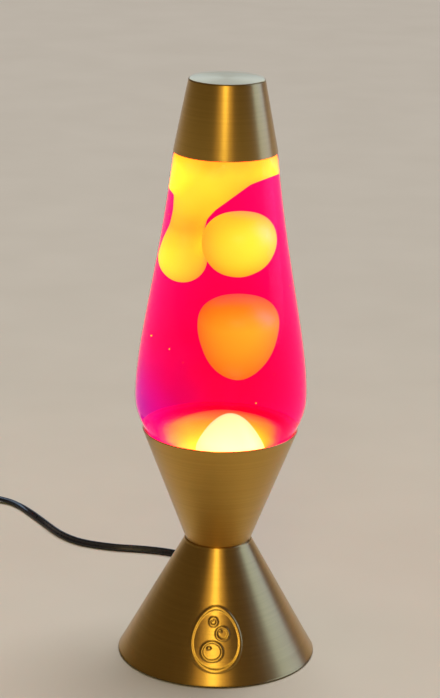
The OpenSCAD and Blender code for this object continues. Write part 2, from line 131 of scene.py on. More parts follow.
def lathe(name, profile, columns=160, sharp=35, closed=True):
    """A surface of revolution from a profile of (r, z) points.

    closed joins the profile's last point to its first.
    """
    points, rings = [], []
    for r, z in profile:
        if r < 1e-6:
            rings.append([len(points)] * columns)
            points.append((0.0, 0.0, z))
            continue
        rings.append(list(range(len(points), len(points) + columns)))
        points += [(*on_circle(r, k, columns), z) for k in range(columns)]
    pairs = list(zip(rings, rings[1:])) + ([(rings[-1], rings[0])] if closed else [])
    faces = []
    for low, high in pairs:
        if low[0] == low[1] and high[0] == high[1]:
            continue
        for k in range(columns):
            n = (k + 1) % columns
            corners = []
            for i in (low[k], low[n], high[n], high[k]):
                if i not in corners:
                    corners.append(i)
            faces.append(corners)
    return add_mesh(name, points, faces, sharp)


def rounded(corners):
    """Rounds an outline. corners are (r, z, radius); a radius of 0 leaves the corner sharp."""
    made = []
    count, steps = len(corners), 5
    for i, (x, y, radius) in enumerate(corners):
        here = Vector((x, y))
        if radius == 0:
            made.append((x, y))
            continue
        before = Vector(corners[i - 1][:2]) - here
        after = Vector(corners[(i + 1) % count][:2]) - here
        a, b = before.normalized(), after.normalized()
        half = math.acos(max(-1, min(1, a.dot(b)))) / 2
        reach = min(radius / math.tan(half), before.length * 0.49, after.length * 0.49)
        start, end = here + a * reach, here + b * reach
        for k in range(steps + 1):
            t = k / steps
            p = start * (1 - t) ** 2 + here * 2 * t * (1 - t) + end * t * t
            made.append((p.x, p.y))
    return made


def together(solids):
    """The points and faces of several solids as one list of each."""
    points, faces = [], []
    for p, f in solids:
        start = len(points)
        points += p
        faces += [[start + i for i in face] for face in f]
    return points, faces


def join_solids(name, solids, voxel, smoothing):
    """One smooth skin round overlapping solids: a voxel remesh, then smoothing."""
    piece = add_mesh(name, *together(solids), ALL_SMOOTH)
    remesh = piece.modifiers.new("skin", "REMESH")
    remesh.mode = "VOXEL"
    remesh.voxel_size = voxel
    relax = piece.modifiers.new("relax", "SMOOTH")
    relax.factor = 0.5
    relax.iterations = smoothing
    freeze(piece)
    smooth(piece, ALL_SMOOTH)
    return piece


def freeze(piece):
    """Applies every modifier."""
    depsgraph = bpy.context.evaluated_depsgraph_get()
    mesh = bpy.data.meshes.new_from_object(piece.evaluated_get(depsgraph))
    piece.modifiers.clear()
    piece.data = mesh


def ball(centre, radius, columns=32, rows=18, shape=None):
    """Points and faces of a ball; shape(direction) scales it in each direction."""
    points, faces = [], []
    c = Vector(centre)
    for i in range(rows + 1):
        lat = -math.pi / 2 + math.pi * i / rows
        for k in range(columns):
            lon = 2 * math.pi * k / columns
            d = Vector((math.cos(lat) * math.cos(lon), math.cos(lat) * math.sin(lon), math.sin(lat)))
            points.append(c + d * radius * (shape(d) if shape else 1.0))
            if i in (0, rows):
                break
    bottom, top = 0, len(points) - 1
    first = bottom + 1
    last = first + (rows - 2) * columns
    for k in range(columns):
        n = (k + 1) % columns
        faces.append([bottom, first + n, first + k])
        for a in range(first, last, columns):
            b = a + columns
            faces.append([a + k, a + n, b + n, b + k])
        faces.append([last + k, last + n, top])
    return points, faces


def catmull(points, steps):
    """A smooth curve through points, with steps to each gap, as the CAD cord has."""
    p = [Vector(q) for q in points]
    made = []
    for i in range(len(p) - 1):
        a, b, c, d = p[max(i - 1, 0)], p[i], p[i + 1], p[min(i + 2, len(p) - 1)]
        for k in range(steps):
            t = k / steps
            made.append(0.5 * (2 * b + (c - a) * t + (2 * a - 5 * b + 4 * c - d) * t * t
                               + (3 * b - a - 3 * c + d) * t ** 3))
    return made + [p[-1]]


def sweep(name, path, section, up=(0, 0, 1), roll=None):
    """A section of (across, above) points swept along a path; roll(i) turns it about the path."""
    count, sides = len(path), len(section)
    points = []
    for i, p in enumerate(path):
        along = (path[min(i + 1, count - 1)] - path[max(i - 1, 0)]).normalized()
        across = along.cross(Vector(up)).normalized()
        above = across.cross(along)
        turn = roll(i) if roll else 0.0
        c, s = math.cos(turn), math.sin(turn)
        for x, y in section:
            points.append(p + across * (x * c - y * s) + above * (x * s + y * c))
    faces = [[i * sides + k, i * sides + (k + 1) % sides, (i + 1) * sides + (k + 1) % sides,
              (i + 1) * sides + k] for i in range(count - 1) for k in range(sides)]
    faces.append(list(range(sides))[::-1])
    faces.append([(count - 1) * sides + k for k in range(sides)])
    return add_mesh(name, points, faces, 50)


# ---- materials -----------------------------------------------------------------------


def new_material(name):
    material = bpy.data.materials.new(name)
    material.use_nodes = True
    tree = material.node_tree
    return material, tree, tree.nodes["Principled BSDF"]


def place(tree, scale):
    """Object coordinates, stretched."""
    where = tree.nodes.new("ShaderNodeTexCoord")
    stretch = tree.nodes.new("ShaderNodeMapping")
    stretch.inputs["Scale"].default_value = scale
    tree.links.new(where.outputs["Object"], stretch.inputs["Vector"])
    return stretch.outputs["Vector"]


def grain(tree, scale, detail=3.0, rough=0.55):
    """A noise whose scale is given along X, Y and Z."""
    texture = tree.nodes.new("ShaderNodeTexNoise")
    texture.inputs["Scale"].default_value = 1.0
    texture.inputs["Detail"].default_value = detail
    texture.inputs["Roughness"].default_value = rough
    tree.links.new(place(tree, scale), texture.inputs["Vector"])
    return texture.outputs["Fac"]


def ramp(tree, factor, stops):
    """A colour ramp; stops are (position, colour)."""
    node = tree.nodes.new("ShaderNodeValToRGB")
    elements = node.color_ramp.elements
    while len(elements) < len(stops):
        elements.new(0.5)
    for element, (position, colour) in zip(elements, stops):
        element.position = position
        element.color = (*colour, 1.0)
    tree.links.new(factor, node.inputs["Fac"])
    return node.outputs["Color"]


def spread(tree, value, low, high, from_low=0.3, from_high=0.7):
    """Maps a value between from_low and from_high onto the range low to high."""
    node = tree.nodes.new("ShaderNodeMapRange")
    node.inputs["From Min"].default_value = from_low
    node.inputs["From Max"].default_value = from_high
    node.inputs["To Min"].default_value = low
    node.inputs["To Max"].default_value = high
    tree.links.new(value, node.inputs["Value"])
    return node.outputs["Result"]


def bump(tree, shader, height, distance, strength=1.0):
    node = tree.nodes.new("ShaderNodeBump")
    node.inputs["Strength"].default_value = strength
    node.inputs["Distance"].default_value = distance
    tree.links.new(height, node.inputs["Height"])
    tree.links.new(node.outputs["Normal"], shader.inputs["Normal"])


def surface(name, dark, light, rough, scale, depth, strength=0.6, **sockets):
    """A solid finish.

    A broad noise drives its colour between dark and light, and a fine one its roughness and relief.
    """
    material, tree, shader = new_material(name)
    fine = grain(tree, scale)
    broad = grain(tree, tuple(s * 0.06 + 4 for s in scale), 2.0)
    tree.links.new(ramp(tree, broad, [(0.3, dark), (0.7, light)]), shader.inputs["Base Color"])
    tree.links.new(spread(tree, fine, *rough), shader.inputs["Roughness"])
    bump(tree, shader, fine, depth, strength)
    for socket, value in sockets.items():
        shader.inputs[socket.replace("_", " ")].default_value = value
    return material


def spun_metal(name, dark, light, rough):
    """Brushed on a lathe: fine rings round the axis, which draw each highlight out along the cone."""
    material, tree, shader = new_material(name)
    rings = grain(tree, (9, 9, 2200), 4.0, 0.65)
    bands = grain(tree, (6, 6, 700), 3.0, 0.6)
    tree.links.new(ramp(tree, bands, [(0.3, dark), (0.7, light)]), shader.inputs["Base Color"])
    tree.links.new(spread(tree, rings, *rough), shader.inputs["Roughness"])
    bump(tree, shader, rings, 0.00003, 0.25)
    tangent = tree.nodes.new("ShaderNodeTangent")
    tangent.direction_type = "RADIAL"
    tangent.axis = "Z"
    tree.links.new(tangent.outputs["Tangent"], shader.inputs["Tangent"])
    shader.inputs["Metallic"].default_value = 1.0
    shader.inputs["Coat Weight"].default_value = 0.4
    shader.inputs["Coat Roughness"].default_value = 0.34
    shader.inputs["Anisotropic"].default_value = 0.65
    shader.inputs["Anisotropic Rotation"].default_value = 0.25
    return material


def wax(name, factor_of, stops, glow, mottle=0.12):
    """Wax with painted glow: its ramp colour, as base colour and emission, stands in for the bulb's
    light in it. factor_of(tree) gives where on the ramp of stops each point is.

    Its painted glow falls to a half at its back, from y = -back to y = back: painted shade.
    """
    back, painted_back_shade = 0.04, 0.5
    material, tree, shader = new_material(name)
    cloud = grain(tree, (55, 55, 45), 3.0)
    add = tree.nodes.new("ShaderNodeMath")
    add.operation = "MULTIPLY_ADD"
    add.inputs[1].default_value = mottle
    tree.links.new(cloud, add.inputs[0])
    tree.links.new(factor_of(tree), add.inputs[2])
    # Painted glow: the ramp colour goes to the base colour and, scaled, to the emission
    colour = ramp(tree, add.outputs["Value"], stops)
    tree.links.new(colour, shader.inputs["Base Color"])
    # Painted shade: the glow is dimmed from full at y = -back to a half at y = back
    split = tree.nodes.new("ShaderNodeSeparateXYZ")
    tree.links.new(place(tree, (1, 1, 1)), split.inputs["Vector"])
    shade = tree.nodes.new("ShaderNodeVectorMath")
    shade.operation = "SCALE"
    tree.links.new(colour, shade.inputs[0])
    tree.links.new(spread(tree, split.outputs["Y"], 1, painted_back_shade, -back, back), shade.inputs["Scale"])
    tree.links.new(shade.outputs["Vector"], shader.inputs["Emission Color"])
    shader.inputs["Emission Strength"].default_value = glow
    shader.inputs["Roughness"].default_value = 0.45
    bump(tree, shader, cloud, 0.0004, 0.4)
    return material


def along_z(low, high):
    """A ramp factor that rises from 0 at one height to 1 at another."""
    def factor(tree):
        split = tree.nodes.new("ShaderNodeSeparateXYZ")
        tree.links.new(place(tree, (1, 1, 1)), split.inputs["Vector"])
        return spread(tree, split.outputs["Z"], 0, 1, low, high)
    return factor


def from_point(point, near, far):
    """A ramp factor that rises from 0 to 1 with distance from a point."""
    def factor(tree):
        gap = tree.nodes.new("ShaderNodeVectorMath")
        gap.operation = "DISTANCE"
        gap.inputs[1].default_value = point
        tree.links.new(place(tree, (1, 1, 1)), gap.inputs[0])
        return spread(tree, gap.outputs["Value"], 0, 1, near, far)
    return factor


def clear(name, ior, rough):
    """Clear glass with faint ripples."""
    material, tree, shader = new_material(name)
    ripple = grain(tree, (30, 30, 18), 1.5)
    tree.links.new(ramp(tree, ripple, [(0.2, (0.97, 0.96, 0.97)), (0.8, (1, 1, 1))]),
                   shader.inputs["Base Color"])
    bump(tree, shader, ripple, 0.0004, 0.25)
    shader.inputs["Roughness"].default_value = rough
    shader.inputs["IOR"].default_value = ior
    shader.inputs["Transmission Weight"].default_value = 1.0
    return material


def lamp_liquid():
    """Clear dye: it swallows green, so it is magenta where it is thin and red where it is deep.

    It also has a painted glow, for the bulb's light in it: violet near one point low on the left, and
    red away from it.
    """
    violet_at, violet_r, red_r = (-0.046, -0.026, 0.178), 0.015, 0.115
    material, tree, shader = new_material("dyed_liquid")
    swirl = grain(tree, (17, 17, 11), 2.0)
    lit = tree.nodes.new("ShaderNodeMath")
    lit.operation = "MULTIPLY_ADD"
    lit.inputs[1].default_value = 0.9
    tree.links.new(swirl, lit.inputs[0])
    tree.links.new(from_point(violet_at, violet_r, red_r)(tree), lit.inputs[2])
    # Painted glow: emission colour standing in for the bulb's light in the liquid, violet near
    # violet_at and red away from it
    glow = ramp(tree, lit.outputs["Value"], [
        (0.50, (0.09, 0.0, 0.150)), (0.72, (0.21, 0.0, 0.040)), (0.95, (0.50, 0.0, 0.003))])
    tree.links.new(glow, shader.inputs["Emission Color"])
    shader.inputs["Emission Strength"].default_value = 1.0
    shader.inputs["Base Color"].default_value = (1.0, 0.07, 1.0, 1.0)
    shader.inputs["Roughness"].default_value = 0.0
    shader.inputs["IOR"].default_value = 1.02
    shader.inputs["Transmission Weight"].default_value = 1.0
    dye = tree.nodes.new("ShaderNodeVolumeAbsorption")
    dye.inputs["Color"].default_value = (0.91, 0.155, 0.62, 1.0)
    dye.inputs["Density"].default_value = 45.0
    output = next(n for n in tree.nodes if n.type == "OUTPUT_MATERIAL")
    tree.links.new(dye.outputs["Volume"], output.inputs["Volume"])
    return material


GOLD = spun_metal("spun_gold", (0.52, 0.30, 0.045), (0.58, 0.34, 0.055), (0.29, 0.35))
STEEL = surface("zinc_steel", (0.42, 0.43, 0.45), (0.62, 0.63, 0.65), (0.28, 0.5), (900, 900, 900),
                0.00004, Metallic=1.0)
BRASS = surface("turned_brass", (0.62, 0.42, 0.16), (0.78, 0.58, 0.28), (0.2, 0.42), (600, 600, 2400),
                0.00004, Metallic=1.0)
PLATED = surface("plated_blades", (0.55, 0.53, 0.48), (0.72, 0.70, 0.64), (0.18, 0.36),
                 (900, 300, 900), 0.00003, Metallic=1.0)
TIN = surface("lacquered_tin", (0.55, 0.42, 0.18), (0.68, 0.55, 0.28), (0.25, 0.4), (500, 500, 900),
              0.00004, Metallic=1.0)
BULB_METAL = surface("formed_aluminium", (0.6, 0.6, 0.62), (0.76, 0.76, 0.78), (0.25, 0.42),
                     (300, 300, 1500), 0.00004, Metallic=1.0)
PHENOLIC = surface("phenolic", (0.012, 0.010, 0.009), (0.03, 0.025, 0.022), (0.3, 0.5),
                   (700, 700, 700), 0.00005)
COVER = surface("pressed_cover", (0.018, 0.018, 0.02), (0.035, 0.035, 0.038), (0.55, 0.8),
                (1400, 1400, 1400), 0.0002)
RUBBER = surface("rubber", (0.012, 0.012, 0.012), (0.03, 0.03, 0.03), (0.65, 0.9),
                 (1100, 1100, 1100), 0.00012)
VINYL = surface("cord_vinyl", (0.006, 0.006, 0.010), (0.016, 0.016, 0.024), (0.22, 0.42),
                (420, 420, 420), 0.00012, Specular_IOR_Level=0.6)
SWITCH = surface("switch_plastic", (0.010, 0.010, 0.012), (0.022, 0.022, 0.026), (0.3, 0.5),
                 (1500, 1500, 1500), 0.00006)
WHEEL = surface("wheel_plastic", (0.05, 0.05, 0.055), (0.09, 0.09, 0.095), (0.35, 0.6),
                (900, 900, 900), 0.00006)
TIE = surface("tie_plastic", (0.03, 0.03, 0.032), (0.06, 0.06, 0.064), (0.45, 0.7),
              (300, 1200, 300), 0.00008)
LINER = surface("soft_liner", (0.72, 0.72, 0.68), (0.84, 0.84, 0.80), (0.4, 0.6), (400, 400, 400),
                0.00006)
BLACK_GLASS = surface("black_glass", (0.008, 0.008, 0.010), (0.02, 0.02, 0.024), (0.08, 0.2),
                      (200, 200, 200), 0.00003)
TUNGSTEN = surface("tungsten", (0.2, 0.2, 0.2), (0.35, 0.35, 0.35), (0.3, 0.5), (2000, 200, 200),
                   0.0001, Metallic=1.0)
GLASS_CLEAR = clear("clear_glass", 1.08, 0.02)
LIQUID = lamp_liquid()


def frosted():
    """The bulb's envelope, frosted inside and lit."""
    material, tree, shader = new_material("frosted_glass")
    frost = grain(tree, (1800, 1800, 1800), 2.0)
    lit = along_z(0.086, 0.125)(tree)
    tree.links.new(ramp(tree, lit, [(0.0, (0.9, 0.42, 0.10)), (0.35, (1.0, 0.72, 0.34)),
                                    (1.0, (1.0, 0.86, 0.58))]), shader.inputs["Emission Color"])
    tree.links.new(ramp(tree, frost, [(0.3, (0.9, 0.88, 0.84)), (0.7, (0.96, 0.95, 0.92))]),
                   shader.inputs["Base Color"])
    shader.inputs["Emission Strength"].default_value = 1.6
    tree.links.new(spread(tree, frost, 0.35, 0.55), shader.inputs["Roughness"])
    bump(tree, shader, frost, 0.00005, 0.5)
    return material


FROSTED = frosted()

# Painted glow of the wax along its ramps, as (position, colour): each colour is base colour and
# emission, standing in for the bulb's light in the wax, and the dimmer, redder stops are painted shade
TOP_PAINTED_GLOW = [(0.0, (1.0, 0.80, 0.006)), (0.12, (1.0, 0.98, 0.008)), (0.36, (1.0, 0.92, 0.006)),
       (0.50, (0.9, 0.60, 0.004)), (0.62, (0.75, 0.66, 0.004)), (0.86, (0.60, 0.57, 0.004)),
       (1.0, (0.35, 0.32, 0.003))]
YELLOW_PAINTED_GLOW = [(0.0, (1.0, 0.75, 0.004)), (0.4, (1.0, 0.92, 0.006)), (1.0, (1.0, 0.96, 0.008))]
ORANGE_PAINTED_GLOW = [(0.0, (1.0, 0.34, 0.002)), (0.3, (1.0, 0.66, 0.003)), (0.75, (1.0, 0.72, 0.003)),
          (1.0, (1.0, 0.46, 0.002))]
POOL_PAINTED_GLOW = [(0.0, (1.0, 1.0, 0.002)), (0.50, (1.0, 0.86, 0.002)), (0.68, (0.60, 0.36, 0.002)),
        (0.77, (0.28, 0.05, 0.007)), (0.84, (0.15, 0.0, 0.009)), (1.0, (0.13, 0.0, 0.009))]
MOUND_PAINTED_GLOW = [(0.0, (1.0, 1.0, 0.050)), (0.7, (1.0, 1.0, 0.040)), (1.0, (1.0, 0.93, 0.020))]

# ---- camera --------------------------------------------------------------------------


def add_camera():
    """The picture's view: 1.56 m in front of the axis, 17 degrees down, leaning a degree."""
    distance, height = 1.5615, 0.6971
    pitch, yaw, lean = 0.29645, 0.0007, 0.01973
    data = bpy.data.cameras.new("camera")
    data.sensor_width = 36.0
    data.lens = 121.5
    data.shift_y = 0.0086
    data.clip_start, data.clip_end = 0.05, 300.0
    camera = bpy.data.objects.new("camera", data)
    turn = (Matrix.Rotation(yaw, 4, "Z") @ Matrix.Rotation(math.pi / 2 - pitch, 4, "X")
            @ Matrix.Rotation(lean, 4, "Z"))
    camera.matrix_world = Matrix.Translation((0, -distance, height)) @ turn
    bpy.context.scene.collection.objects.link(camera)
    bpy.context.scene.camera = camera


add_camera()

# ---- cord: its route in millimetres, from inside the strain relief to the plug -------

CORD_W, CORD_T = 5.6 * MM, 2.8 * MM
CORD_LOWEST = 0.2 * MM
BOOT_ROUTE = [(0, 70, 8.95), (0, 83, 6.48)]
LEAD_ROUTE = [
    (0, 96, 4), (0, 104, 2.7), (0, 114, 1.9), (-1, 126, 1.6), (-4, 140, 1.6), (-10, 153, 1.6),
    (-20, 164, 1.6), (-34, 173, 1.6), (-48, 178, 1.6), (-64, 181, 1.6), (-80, 183, 1.6),
    (-95, 187, 1.6), (-109, 193, 1.6), (-120, 202, 1.6), (-129, 213, 1.6), (-138, 228, 1.6),
    (-147, 244, 1.6), (-156, 260, 1.6), (-165, 274, 1.8), (-174, 283, 2.3), (-185, 288, 3.2),
    (-193, 290, 4), (-200, 290, 4.4)]
TAIL_ROUTE = [
    (-246, 290, 4.4), (-254, 289, 3.8), (-263, 285, 2.8), (-271, 277, 2.2), (-276, 266, 2),
    (-278, 254, 2), (-278, 246, 2)]
END_ROUTE = [
    (-272, 228, 8.2), (-272, 221, 9.6), (-272, 213, 10.8), (-271.5, 205, 10.4), (-270, 196, 8.8),
    (-269, 187, 7.4), (-268, 178, 6.8)]
COIL_X, COIL_Y, COIL_R = -242, 234, 33
COLUMN_STEP, LAYER_STEP = 6, 2.9
COIL_FLOOR = 2.05
# The free stretch stands on its edge between two points of its path, and turns up over twelve of them
STANDS_FROM, STANDS_TO, STANDS_OVER = 14, 62, 12
STANDS_TURN, STANDS_LIFT = 1.2, 1.2 * MM


def coil_turns():
    """Six turns from the coil's left side, in two columns of three layers.

    Each turn changes place in its last 40 degrees.
    """
    steps, shift = 36, 40 / 360
    places = [(1, 0), (-1, 0), (-1, 1), (1, 1), (1, 2), (-1, 2)]
    made = []
    for turn, (column, layer) in enumerate(places):
        after = places[min(turn + 1, len(places) - 1)]
        for k in range(steps):
            t = k / steps
            s = ease(max(0.0, (t - 1 + shift) / shift))
            r = COIL_R + COLUMN_STEP / 2 * (column + (after[0] - column) * s)
            z = COIL_FLOOR + LAYER_STEP * (layer + (after[1] - layer) * s)
            a = math.pi + 2 * math.pi * t
            made.append((COIL_X + r * math.cos(a), COIL_Y + r * math.sin(a), z))
    return made + [(COIL_X - COIL_R + COLUMN_STEP / 2, COIL_Y, COIL_FLOOR + 2 * LAYER_STEP)]


def twin_section():
    """The cord's figure of eight: two round cores side by side, joined by a web."""
    core = CORD_T / 2
    half = CORD_W / 2 - core
    arc = [math.radians(a) for a in range(-126, 127, 28)]
    right = [(half + core * math.cos(a), core * math.sin(a)) for a in arc]
    return right + [(-x, -y) for x, y in right]


def stood_up(i):
    """How far the flat cord is turned on its edge along the stretch that lies free on the floor."""
    return ease(clamp((i - STANDS_FROM) / STANDS_OVER) * clamp((STANDS_TO - i) / STANDS_OVER))


def add_cord():
    route = BOOT_ROUTE + LEAD_ROUTE + TAIL_ROUTE + coil_turns() + END_ROUTE
    path = catmull([Vector(p) * MM for p in route], 3)
    for i, p in enumerate(path):
        p.z += STANDS_LIFT * stood_up(i)
    cord = sweep("twin_cord", path, twin_section(), roll=lambda i: STANDS_TURN * stood_up(i))
    for v in cord.data.vertices:
        v.co.z = max(v.co.z, CORD_LOWEST)
    cord.data.materials.append(VINYL)
    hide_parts("cord_lead", "cord_tail", "cord_coil", "cord_end")
    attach(cord, "base")


add_cord()

# ---- spun metal ----------------------------------------------------------------------


def finish_piece(piece, material, slot, body, *replaced):
    """Gives a piece its material, the body it rides on and the CAD nodes it stands for. slot is not
    used.
    """
    piece.data.materials.clear()
    piece.data.materials.append(material)
    if replaced:
        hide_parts(*replaced)
    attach(piece, body)


def metal_shell(name, node, body, corners):
    """A turned piece of spun metal; its corners are as for rounded()."""
    shell = lathe(name, rounded(corners), ROUND, 30)
    finish_piece(shell, GOLD, "spun_gold", body, node)


def add_bowl():
    """The upper cone, which holds the globe."""
    low, high = bowl_low.z, bowl_high.z
    waist = 23.2 * MM
    wall = 1.35 * MM
    metal_shell("bowl_cone", "upper_cone", "base", [
        (WAIST_HOLE, low, 0), (waist - 0.4 * MM, low, 0.5 * MM), (waist, low + 0.5 * MM, 0),
        (bowl_r, high - 0.5 * MM, 0.5 * MM), (bowl_r - 0.2 * MM, high, 0.4 * MM),
        (bowl_r - 0.9 * MM, high, 0.4 * MM), (bowl_r - wall, high - 0.8 * MM, 0.4 * MM),
        (waist - wall + 0.4 * MM, low + SHEET, 0.6 * MM), (WAIST_HOLE, low + SHEET, 0)])


def add_cap():
    low, high = cap_low.z, cap_high.z
    wide, top = cap_high.x, 26.1 * MM
    wall = 1.0 * MM
    metal_shell("cap_cone", "top_cap", "cap", [
        (0, high, 0), (top - 0.9 * MM, high, 1.0 * MM), (top - 0.1 * MM, high - 0.7 * MM, 0.8 * MM),
        (wide, low + 0.4 * MM, 0.3 * MM), (wide - 0.4 * MM, low, 0.3 * MM),
        (wide - wall, low, 0.3 * MM), (top - 1.2 * MM, high - 1.9 * MM, 1.0 * MM),
        (0, high - 1.2 * MM, 0)])


def motif(across, up):
    """Height, from 0 to 1, of the badge on the front, at a point in millimetres from its middle.

    It is an oval band round three rising bubbles, each a ring with a glint in it.
    """
    edge = 0.55

    def raised(distance):
        return ease(clamp(0.5 - distance / edge / 2))

    oval = (math.hypot(across / 17.0, up / 22.0) - 1) * 18
    heights = [raised(abs(oval) - 1.1)]
    for x, y, r in [(-2.5, -8.5, 6.6), (4.6, 4.0, 4.4), (-2.2, 12.2, 2.8)]:
        ring = math.hypot(across - x, up - y) - r
        glint = math.hypot(across - x + r * 0.3, up - y - r * 0.35) - r * 0.2
        heights += [raised(abs(ring) - 0.8), raised(glint)]
    return max(heights)


def add_skirt():
    """The lower cone, with its badge in relief on a finer grid at the front."""
    top_z = base_high.z - SHEET
    edge_z = base_low.z
    lip = 23.9 * MM
    slope = (base_r - lip) / (top_z - edge_z)
    lean = math.hypot(1, slope)
    badge_z, relief = 30 * MM, 0.55 * MM
    badge_half_w, badge_half_h = 22, 27
    front = math.radians(270)
    fine_step, fine_half, coarse_count, row_count = 0.55, 58, 96, 170
    fine = [front + math.radians(fine_step * i) for i in range(-fine_half, fine_half + 1)]
    gap = 2 * math.pi - fine[-1] + fine[0]
    coarse = [fine[-1] + gap * i / coarse_count for i in range(1, coarse_count)]
    angles = fine + coarse
    first_z, above, below = edge_z + 0.9 * MM, 0.8 * MM, 0.9 * MM
    heights = [first_z + (top_z - above - edge_z - below) * i / row_count for i in range(row_count + 1)]
    outside = []
    for z in heights:
        r = base_r - slope * (z - edge_z)
        up = (z - badge_z) * lean / MM
        row = []
        for a in angles:
            across = (a - front) * (base_r - slope * (badge_z - edge_z)) / MM
            on_badge = abs(up) < badge_half_h and abs(across) < badge_half_w
            lift = relief * motif(across, up) if on_badge else 0.0
            row.append(((r + lift) * math.cos(a), (r + lift) * math.sin(a), z))
        outside.append(row)
    bottom = rounded([(base_r - 0.1 * MM, edge_z + 0.5 * MM, 0), (base_r - 0.6 * MM, edge_z, 0.5 * MM),
                      (base_r - 1.6 * MM, edge_z, 0.5 * MM), (base_r - 2.2 * MM, edge_z + 0.6 * MM, 0)])
    inside = [(base_r - 2.8 * MM, 3.0 * MM), (56 * MM, 3.0 * MM), (56 * MM, 4.2 * MM),
              (base_r - 3.3 * MM, 4.2 * MM), (lip - 1.4 * MM, top_z), (WAIST_HOLE, top_z),
              (WAIST_HOLE, base_high.z)]
    top = rounded([(WAIST_HOLE, base_high.z, 0), (lip - 0.9 * MM, base_high.z, 0.4 * MM),
                   (lip - 0.1 * MM, top_z + 0.5 * MM, 0.4 * MM), (lip + 0.2 * MM, top_z - 0.3 * MM, 0)])
    rows = [[(r * math.cos(a), r * math.sin(a), z) for a in angles]
            for r, z in bottom + inside + top[1:]]
    rows = rows + outside[::-1]
    count = len(angles)
    points = [p for row in rows for p in row]
    faces = []
    for i in range(len(rows)):
        a, b = i * count, (i + 1) % len(rows) * count
        faces += [[a + k, a + (k + 1) % count, b + (k + 1) % count, b + k] for k in range(count)]
    skirt = add_mesh("skirt_cone", points, faces, 40)
    finish_piece(skirt, GOLD, "spun_gold", "base", "lower_cone")


add_bowl()
add_cap()
add_skirt()

# ---- globe ---------------------------------------------------------------------------

SKIN = 0.5 * MM         # the visible glass is thin, as the real one looks with liquid behind it
LIQUID_IN = 0.6 * MM    # from the glass's outside in to the liquid
WAX_IN = 1.4 * MM       # and in to the wax
BORE = 12.2 * MM        # radius of the bottle's mouth
LIQUID_FLOOR, POOL_FLOOR = 0.1508, 152.5 * MM
LIQUID_LEVEL, WAX_LEVEL = 0.391, 389 * MM


def add_glass():
    """The bottle, thin all over, with its lip at the top and its foot pushed up in the middle."""
    lip = [(14.5 * MM, 0.394), (15.6 * MM, 0.395), (15.6 * MM, 0.399), (BORE, 0.399)]
    foot = [(0, 0.1494), (14 * MM, 0.1494), (37 * MM, 0.1464)]
    foot_inside = [(40 * MM, 0.1478), (37 * MM, 0.1474), (14 * MM, 0.1502), (0, 0.1502)]
    inside = [(max(r - SKIN, BORE), z) for r, z in GLASS_SIDE if z > 0.148]
    profile = foot + GLASS_SIDE + lip + inside[::-1] + foot_inside
    glass = lathe("glass_bottle", profile, ROUND, 40, closed=False)
    glass.visible_shadow = False
    finish_piece(glass, GLASS_CLEAR, "clear_glass", "globe", "glass_globe")


def add_liquid():
    """One body of dyed liquid, which the wax lies in."""
    side = [(r - LIQUID_IN, z) for r, z in GLASS_SIDE if z > 0.1513]
    floor = [(0, LIQUID_FLOOR), (side[0][0] - 3 * MM, LIQUID_FLOOR)]
    profile = floor + side + [(12 * MM, LIQUID_LEVEL), (0, LIQUID_LEVEL)]
    liquid = lathe("dyed_liquid", profile, ROUND, 60, closed=False)
    liquid.visible_shadow = False
    finish_piece(liquid, LIQUID, "lamp_liquid", "globe", "liquid")


def keep_inside_glass(piece):
    """Presses wax back where it would pass the glass."""
    for v in piece.data.vertices:
        r = math.hypot(v.co.x, v.co.y)
        most = glass_radius(v.co.z) - WAX_IN
        if r > most:
            v.co.x *= most / r
            v.co.y *= most / r


def add_pool():
    """Molten wax at the bottom: low in front, high at the back, and lapping up the glass there."""
    front_z, back_rise, lap = 157 * MM, 9 * MM, 3.5 * MM
    slope_y, slope_length = 24 * MM, 34 * MM
    heap_x, heap_y, heap_r, heap_h = 3.5 * MM, 4 * MM, 38 * MM, 5 * MM
    rings, side_rows, columns = 60, 7, 144
    edge = glass_radius(front_z) - WAX_IN

    def level(x, y):
        tilt = ease(clamp((y + slope_y) / slope_length))
        swell = heap_h * max(0.0, 1 - (math.hypot(x - heap_x, y - heap_y) / heap_r) ** 4)
        climb = lap * max(0.0, math.hypot(x, y) / edge * 10 - 9) ** 2
        wave = 0.8 * MM * noise.noise(Vector((x, y, 0)) * 45)
        return front_z + tilt * (back_rise + swell + climb) + wave

    points = [(0, 0, level(0, 0))]
    for i in range(1, rings + 1):
        for k in range(columns):
            x, y = on_circle(edge * i / rings, k, columns)
            z = level(x, y)
            if i == rings:
                reach = (glass_radius(z) - WAX_IN) / edge
                x, y = x * reach, y * reach
            points.append((x, y, z))
    rim = points[-columns:]
    for i in range(1, side_rows + 1):
        t = i / side_rows
        for k in range(columns):
            z = rim[k][2] * (1 - t) + POOL_FLOOR * t
            points.append((*on_circle(glass_radius(z) - WAX_IN, k, columns), z))
    faces = [[0, 1 + k, 1 + (k + 1) % columns] for k in range(columns)]
    rows = rings + side_rows
    for i in range(rows - 1):
        a, b = 1 + i * columns, 1 + (i + 1) * columns
        faces += [[a + k, b + k, b + (k + 1) % columns, a + (k + 1) % columns] for k in range(columns)]
    faces.append([1 + (rows - 1) * columns + k for k in range(columns)][::-1])
    pool = add_mesh("wax_pool_skin", points, faces, ALL_SMOOTH)
    # Painted pool of light: the wax's glow is brightest at this point over the bulb and dims to dark
    # red 56 mm away
    painted_glow_centre = (0, 2 * MM, 165 * MM)
    material = wax("wax_pool_glow", from_point(painted_glow_centre, 0, 56 * MM), POOL_PAINTED_GLOW, 24.0, 0.16)
    finish_piece(pool, material, "wax_glowing", "globe", "wax_pool")


